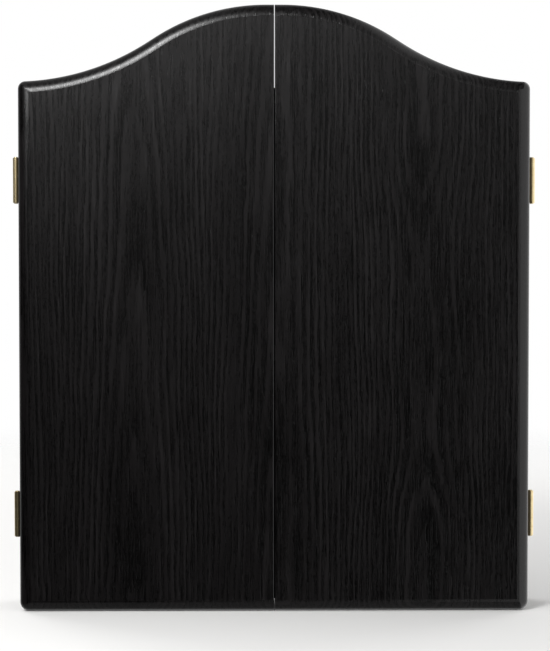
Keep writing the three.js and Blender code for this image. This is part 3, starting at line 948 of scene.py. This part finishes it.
def make_catch(side, sign):
    """A white housing screwed under the box's top, and its magnet: a ferrite block between two
    steel pole plates. It is made on the right, and mirrored for the left."""
    low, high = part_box("right_catch_housing")
    middle = (low.x + high.x) / 2
    half = 0.014
    body = slab((middle - half, low.y, low.z), (middle + half, high.y, high.z))
    flange_front, flange_depth, flange_thickness = low.y + 0.0045, 0.010, 0.004
    flanges = slab(
        (low.x, flange_front, high.z - flange_thickness),
        (high.x, flange_front + flange_depth, high.z),
    )
    magnet_low, magnet_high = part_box("right_catch_magnet")
    gap = Vector([0.0003] * 3)
    pocket_low = magnet_low - gap
    pocket_low.y = low.y - CLEAR
    tools = [slab(pocket_low, magnet_high + gap)]
    for i in (1, 2):
        screw = f"right_catch_screw_{i}"
        x, y, _ = middle_of(screw)
        tools.append(moved(facing_up(countersunk_hole()), x, y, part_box(screw)[0].z))
    housing = boolean(boolean(body, [flanges], "UNION"), tools)

    plate = 0.0011
    proud = 0.0003
    ferrite = slab(
        (magnet_low.x, magnet_low.y + proud, magnet_low.z + plate),
        (magnet_high.x, magnet_high.y, magnet_high.z - plate),
    )
    lower = slab(magnet_low, (magnet_high.x, magnet_high.y, magnet_low.z + plate))
    upper = slab((magnet_low.x, magnet_low.y, magnet_high.z - plate), magnet_high)
    shell_nodes, magnet_nodes = [f"{side}_catch_housing"], [f"{side}_catch_magnet"]
    for part, bm, material, slot, nodes, easing in (
        ("catch_shell", housing, WHITE_PLASTIC, "catch_plastic", shell_nodes, 0.0006),
        ("catch_ferrite", ferrite, FERRITE, "magnet", magnet_nodes, 0.0002),
        ("catch_pole_lower", lower, ZINC, "zinc_steel", [], 0.00015),
        ("catch_pole_upper", upper, ZINC, "zinc_steel", [], 0.00015),
    ):
        if sign < 0:
            mirrored(bm)
        piece(f"{side}_{part}", bm, material, CABINET, nodes, easing=easing)


def plate_outline(low, high, corner):
    """A plate's outline seen from the front, all four corners rounded."""
    corners = [(low.x, low.z), (high.x, low.z), (high.x, high.z), (low.x, high.z)]
    return rounded(corners, [corner] * 4)


def make_strike(side):
    """The steel plate on the door that the magnet holds."""
    node = f"{side}_strike_plate"
    low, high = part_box(node)
    screw = f"{side}_strike_screw"
    x, _, z = middle_of(screw)
    hole = moved(facing_back(countersunk_hole()), x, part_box(screw)[1].y, z)
    strike = boolean(prism(plate_outline(low, high, 0.002), "Y", low.y, high.y), [hole])
    piece(f"{side}_strike_disc", strike, ZINC, f"{side}_door", [node], easing=0.0002)


def make_bumper(side):
    """A rubber dome that the door closes on."""
    node = f"{side}_bumper"
    low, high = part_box(node)
    x, _, z = middle_of(node)
    radius = (high.x - low.x) / 2
    rise = 0.65 * (high.y - low.y)
    dome = [(radius * math.sin(t), low.y + rise * (1 - math.cos(t))) for t in quarter(12)]
    profile = [(0, low.y), *dome, (radius, high.y), (0, high.y)]
    bumper = turned(profile, at=(x, 0, z))
    piece(f"{side}_bumper_dome", bumper, RUBBER, CABINET, [node])


def make_catches():
    for side, sign in SIDES.items():
        make_catch(side, sign)
        make_strike(side)
        make_bumper(side)


# ---------------------------------------------------------------- inside the doors


def make_scoreboard(side):
    """A thin panel with rounded corners, on the inside of the door."""
    node, door = f"{side}_scoreboard", f"{side}_door"
    low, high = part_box(node)
    board = prism(plate_outline(low, high, 0.003), "Y", low.y, high.y)
    piece(f"{node}_panel", board, chalkboard(side), door, [node], easing=0.0005)


def make_dart_rack(side, sign):
    """A bar with a round nose and three chamfered holes for darts."""
    node, door = f"{side}_dart_rack", f"{side}_door"
    low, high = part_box(node)
    ease, nose = 0.0005, 0.004
    corners = [(low.y, low.z), (high.y, low.z), (high.y, high.z), (low.y, high.z)]
    section = rounded(corners, [ease, nose, nose, ease], 8)
    middle = (low.y + high.y) / 2
    chamfer = 0.0009
    wide = DART_HOLE_RADIUS + chamfer
    profile = [
        (0, low.z - CLEAR),
        (wide, low.z - CLEAR),
        (wide, low.z),
        (DART_HOLE_RADIUS, low.z + chamfer),
        (DART_HOLE_RADIUS, high.z - chamfer),
        (wide, high.z),
        (wide, high.z + CLEAR),
        (0, high.z + CLEAR),
    ]
    holes = [turned(profile, "Z", at=(sign * x, middle, 0), sides=36) for x in DART_HOLES]
    bar = boolean(prism(section, "X", low.x, high.x), holes)
    piece(f"{node}_bar", bar, CROSS_WOOD, door, [node], easing=0.0004)


def make_door_fittings():
    for side, sign in SIDES.items():
        make_scoreboard(side)
        make_dart_rack(side, sign)


# ---------------------------------------------------------------- studio

# The camera stands in front, a little left of the middle and above it, and is turned down and
# to the right.
CAMERA_PLACE = Vector((-0.033, -2.40, 0.122))
CAMERA_PITCH = math.radians(2.53)
CAMERA_YAW = math.radians(0.83)
LENS = 127.908  # millimetres, and so is the sensor's width
SENSOR = 36.0


def make_camera():
    data = bpy.data.cameras.new("camera")
    data.sensor_width = SENSOR
    data.lens = LENS
    data.clip_end = 50
    camera = bpy.data.objects.new("camera", data)
    bpy.context.scene.collection.objects.link(camera)
    forward = Vector(
        (
            math.sin(CAMERA_YAW) * math.cos(CAMERA_PITCH),
            math.cos(CAMERA_YAW) * math.cos(CAMERA_PITCH),
            -math.sin(CAMERA_PITCH),
        )
    )
    right = forward.cross(Vector((0, 0, 1))).normalized()
    up = right.cross(forward)
    turn = Matrix((right, up, -forward)).transposed().to_4x4()
    camera.matrix_world = Matrix.Translation(CAMERA_PLACE) @ turn
    bpy.context.scene.camera = camera


def area_light(name, at, target, width, height, radiance):
    """A rectangular light that shines at a target with the given radiance."""
    data = bpy.data.lights.new(name, "AREA")
    data.shape = "RECTANGLE"
    data.size, data.size_y = width, height
    data.energy = radiance * math.pi * width * height
    light = bpy.data.objects.new(name, data)
    bpy.context.scene.collection.objects.link(light)
    light.location = at
    light.rotation_euler = (Vector(target) - Vector(at)).to_track_quat("-Z", "Y").to_euler()
    light.visible_camera = False
    return light


# Each light's name, place, target, width, height and radiance
LIGHTS = (
    ("wide soft light in front", (-0.10, -1.75, 0.70), (0, -0.09, 0.20), 1.7, 0.30, 1.15),
    ("soft light front left", (-0.62, -1.60, 0.78), (-0.18, -0.09, 0.24), 0.7, 0.30, 1.8),
    ("high on the left", (-0.64, -1.25, 0.98), (-0.14, -0.09, 0.28), 0.42, 0.36, 37),
    ("small and close on the left", (-0.52, -0.53, 0.36), (-0.258, -0.085, 0.24), 0.10, 0.10, 24),
    ("rear left", (-1.3, 1.5, 0.9), (0, 0, 0), 1.0, 1.2, 4),
    ("rear right", (1.4, 1.4, 0.5), (0, 0, 0), 1.0, 1.2, 3),
    ("overhead", (-0.6, 0.2, 1.6), (0, 0, 0), 1.6, 1.2, 0.3),
)


def make_lights():
    """The rear lights are hidden from reflections, so that the doors' outer edges don't glare."""
    for name, *rest in LIGHTS:
        light = area_light(name, *rest)
        light.visible_glossy = not name.startswith("rear")


SOFT_LIGHT = 0.55
ROOM_RADIANCE = 0.008
# What reflections see: where each part of the room starts and is at its full radiance, as
# an amount of the direction's X, -Z, Z or Y, and that radiance
RIGHT_WALL = (0.30, 0.46, 1.02)
PALE_GROUND = (0.46, 0.56, 0.20)
UPPER_ROOM = (-0.02, 0.35, 0.045)
BACKDROP = (0.1, 0.5, 0.55)


def make_world():
    """White behind the object, and a soft white light on it. Reflections see a dim room with
    a bright wall on the right, a pale ground and a pale backdrop."""
    world = bpy.data.worlds.new("studio")
    bpy.context.scene.world = world
    world.use_nodes = True
    tree = world.node_tree
    background = next(n for n in tree.nodes if n.type == "BACKGROUND")
    background.inputs["Color"].default_value = (1, 1, 1, 1)
    path = tree.nodes.new("ShaderNodeLightPath").outputs
    way = tree.nodes.new("ShaderNodeSeparateXYZ")
    tree.links.new(tree.nodes.new("ShaderNodeTexCoord").outputs["Generated"], way.inputs[0])

    def level(value, low, high, radiance):
        """A soft-edged part of the room: nothing below low, the full radiance above high."""
        made = tree.nodes.new("ShaderNodeMapRange")
        made.interpolation_type = "SMOOTHSTEP"
        settings = {"From Min": low, "From Max": high, "To Min": 0.0, "To Max": radiance}
        for key, number in settings.items():
            made.inputs[key].default_value = number
        tree.links.new(value, made.inputs["Value"])
        return made.outputs[0]

    def sum_of(one, other, operation="ADD"):
        made = tree.nodes.new("ShaderNodeMath")
        made.operation = operation
        for socket, value in zip(made.inputs, (one, other)):
            if isinstance(value, bpy.types.NodeSocket):
                tree.links.new(value, socket)
            else:
                socket.default_value = value
        return made.outputs[0]

    room = sum_of(level(way.outputs[0], *RIGHT_WALL), ROOM_RADIANCE)
    down = sum_of(way.outputs[2], -1.0, "MULTIPLY")
    room = sum_of(room, level(down, *PALE_GROUND))
    room = sum_of(room, level(way.outputs[2], *UPPER_ROOM))
    room = sum_of(room, level(way.outputs[1], *BACKDROP))
    total = sum_of(path["Is Camera Ray"], sum_of(path["Is Diffuse Ray"], SOFT_LIGHT, "MULTIPLY"))
    total = sum_of(total, sum_of(path["Is Glossy Ray"], room, "MULTIPLY"))
    tree.links.new(total, background.inputs["Strength"])


FLOOR_SOLID_RADIUS = 0.9
FLOOR_RADIUS = 2.2


def make_floor():
    """A pale floor under the doors that fades out into the white background."""
    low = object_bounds()[0]
    drop = 0.0005
    bm = bmesh.new()
    bmesh.ops.create_circle(bm, cap_ends=True, segments=96, radius=FLOOR_RADIUS)
    moved(bm, z=low.z - drop)
    mesh = bpy.data.meshes.new("floor")
    bm.to_mesh(mesh)
    bm.free()
    floor = bpy.data.objects.new("floor", mesh)
    bpy.context.scene.collection.objects.link(floor)
    s = Shader("pale floor", Roughness=0.9)
    s.surface.inputs["Base Color"].default_value = (0.86, 0.855, 0.845, 1)
    x, y, _ = s.split(s.place)
    away = s.math("SQRT", s.math("ADD", s.math("MULTIPLY", x, x), s.math("MULTIPLY", y, y)))
    s.set("Alpha", s.span(away, FLOOR_SOLID_RADIUS, FLOOR_RADIUS * 0.98, 1.0, 0.0, smooth=True))
    mesh.materials.append(s.material)
    floor.visible_glossy = False


# ---------------------------------------------------------------- the whole

make_doors()
make_box()
make_back_panel()
make_screws()
make_hinges()
make_bracket()
make_catches()
make_door_fittings()

make_camera()
make_world()
make_lights()
make_floor()

settings = bpy.context.scene.view_settings
settings.view_transform = "Standard"
settings.look = "None"
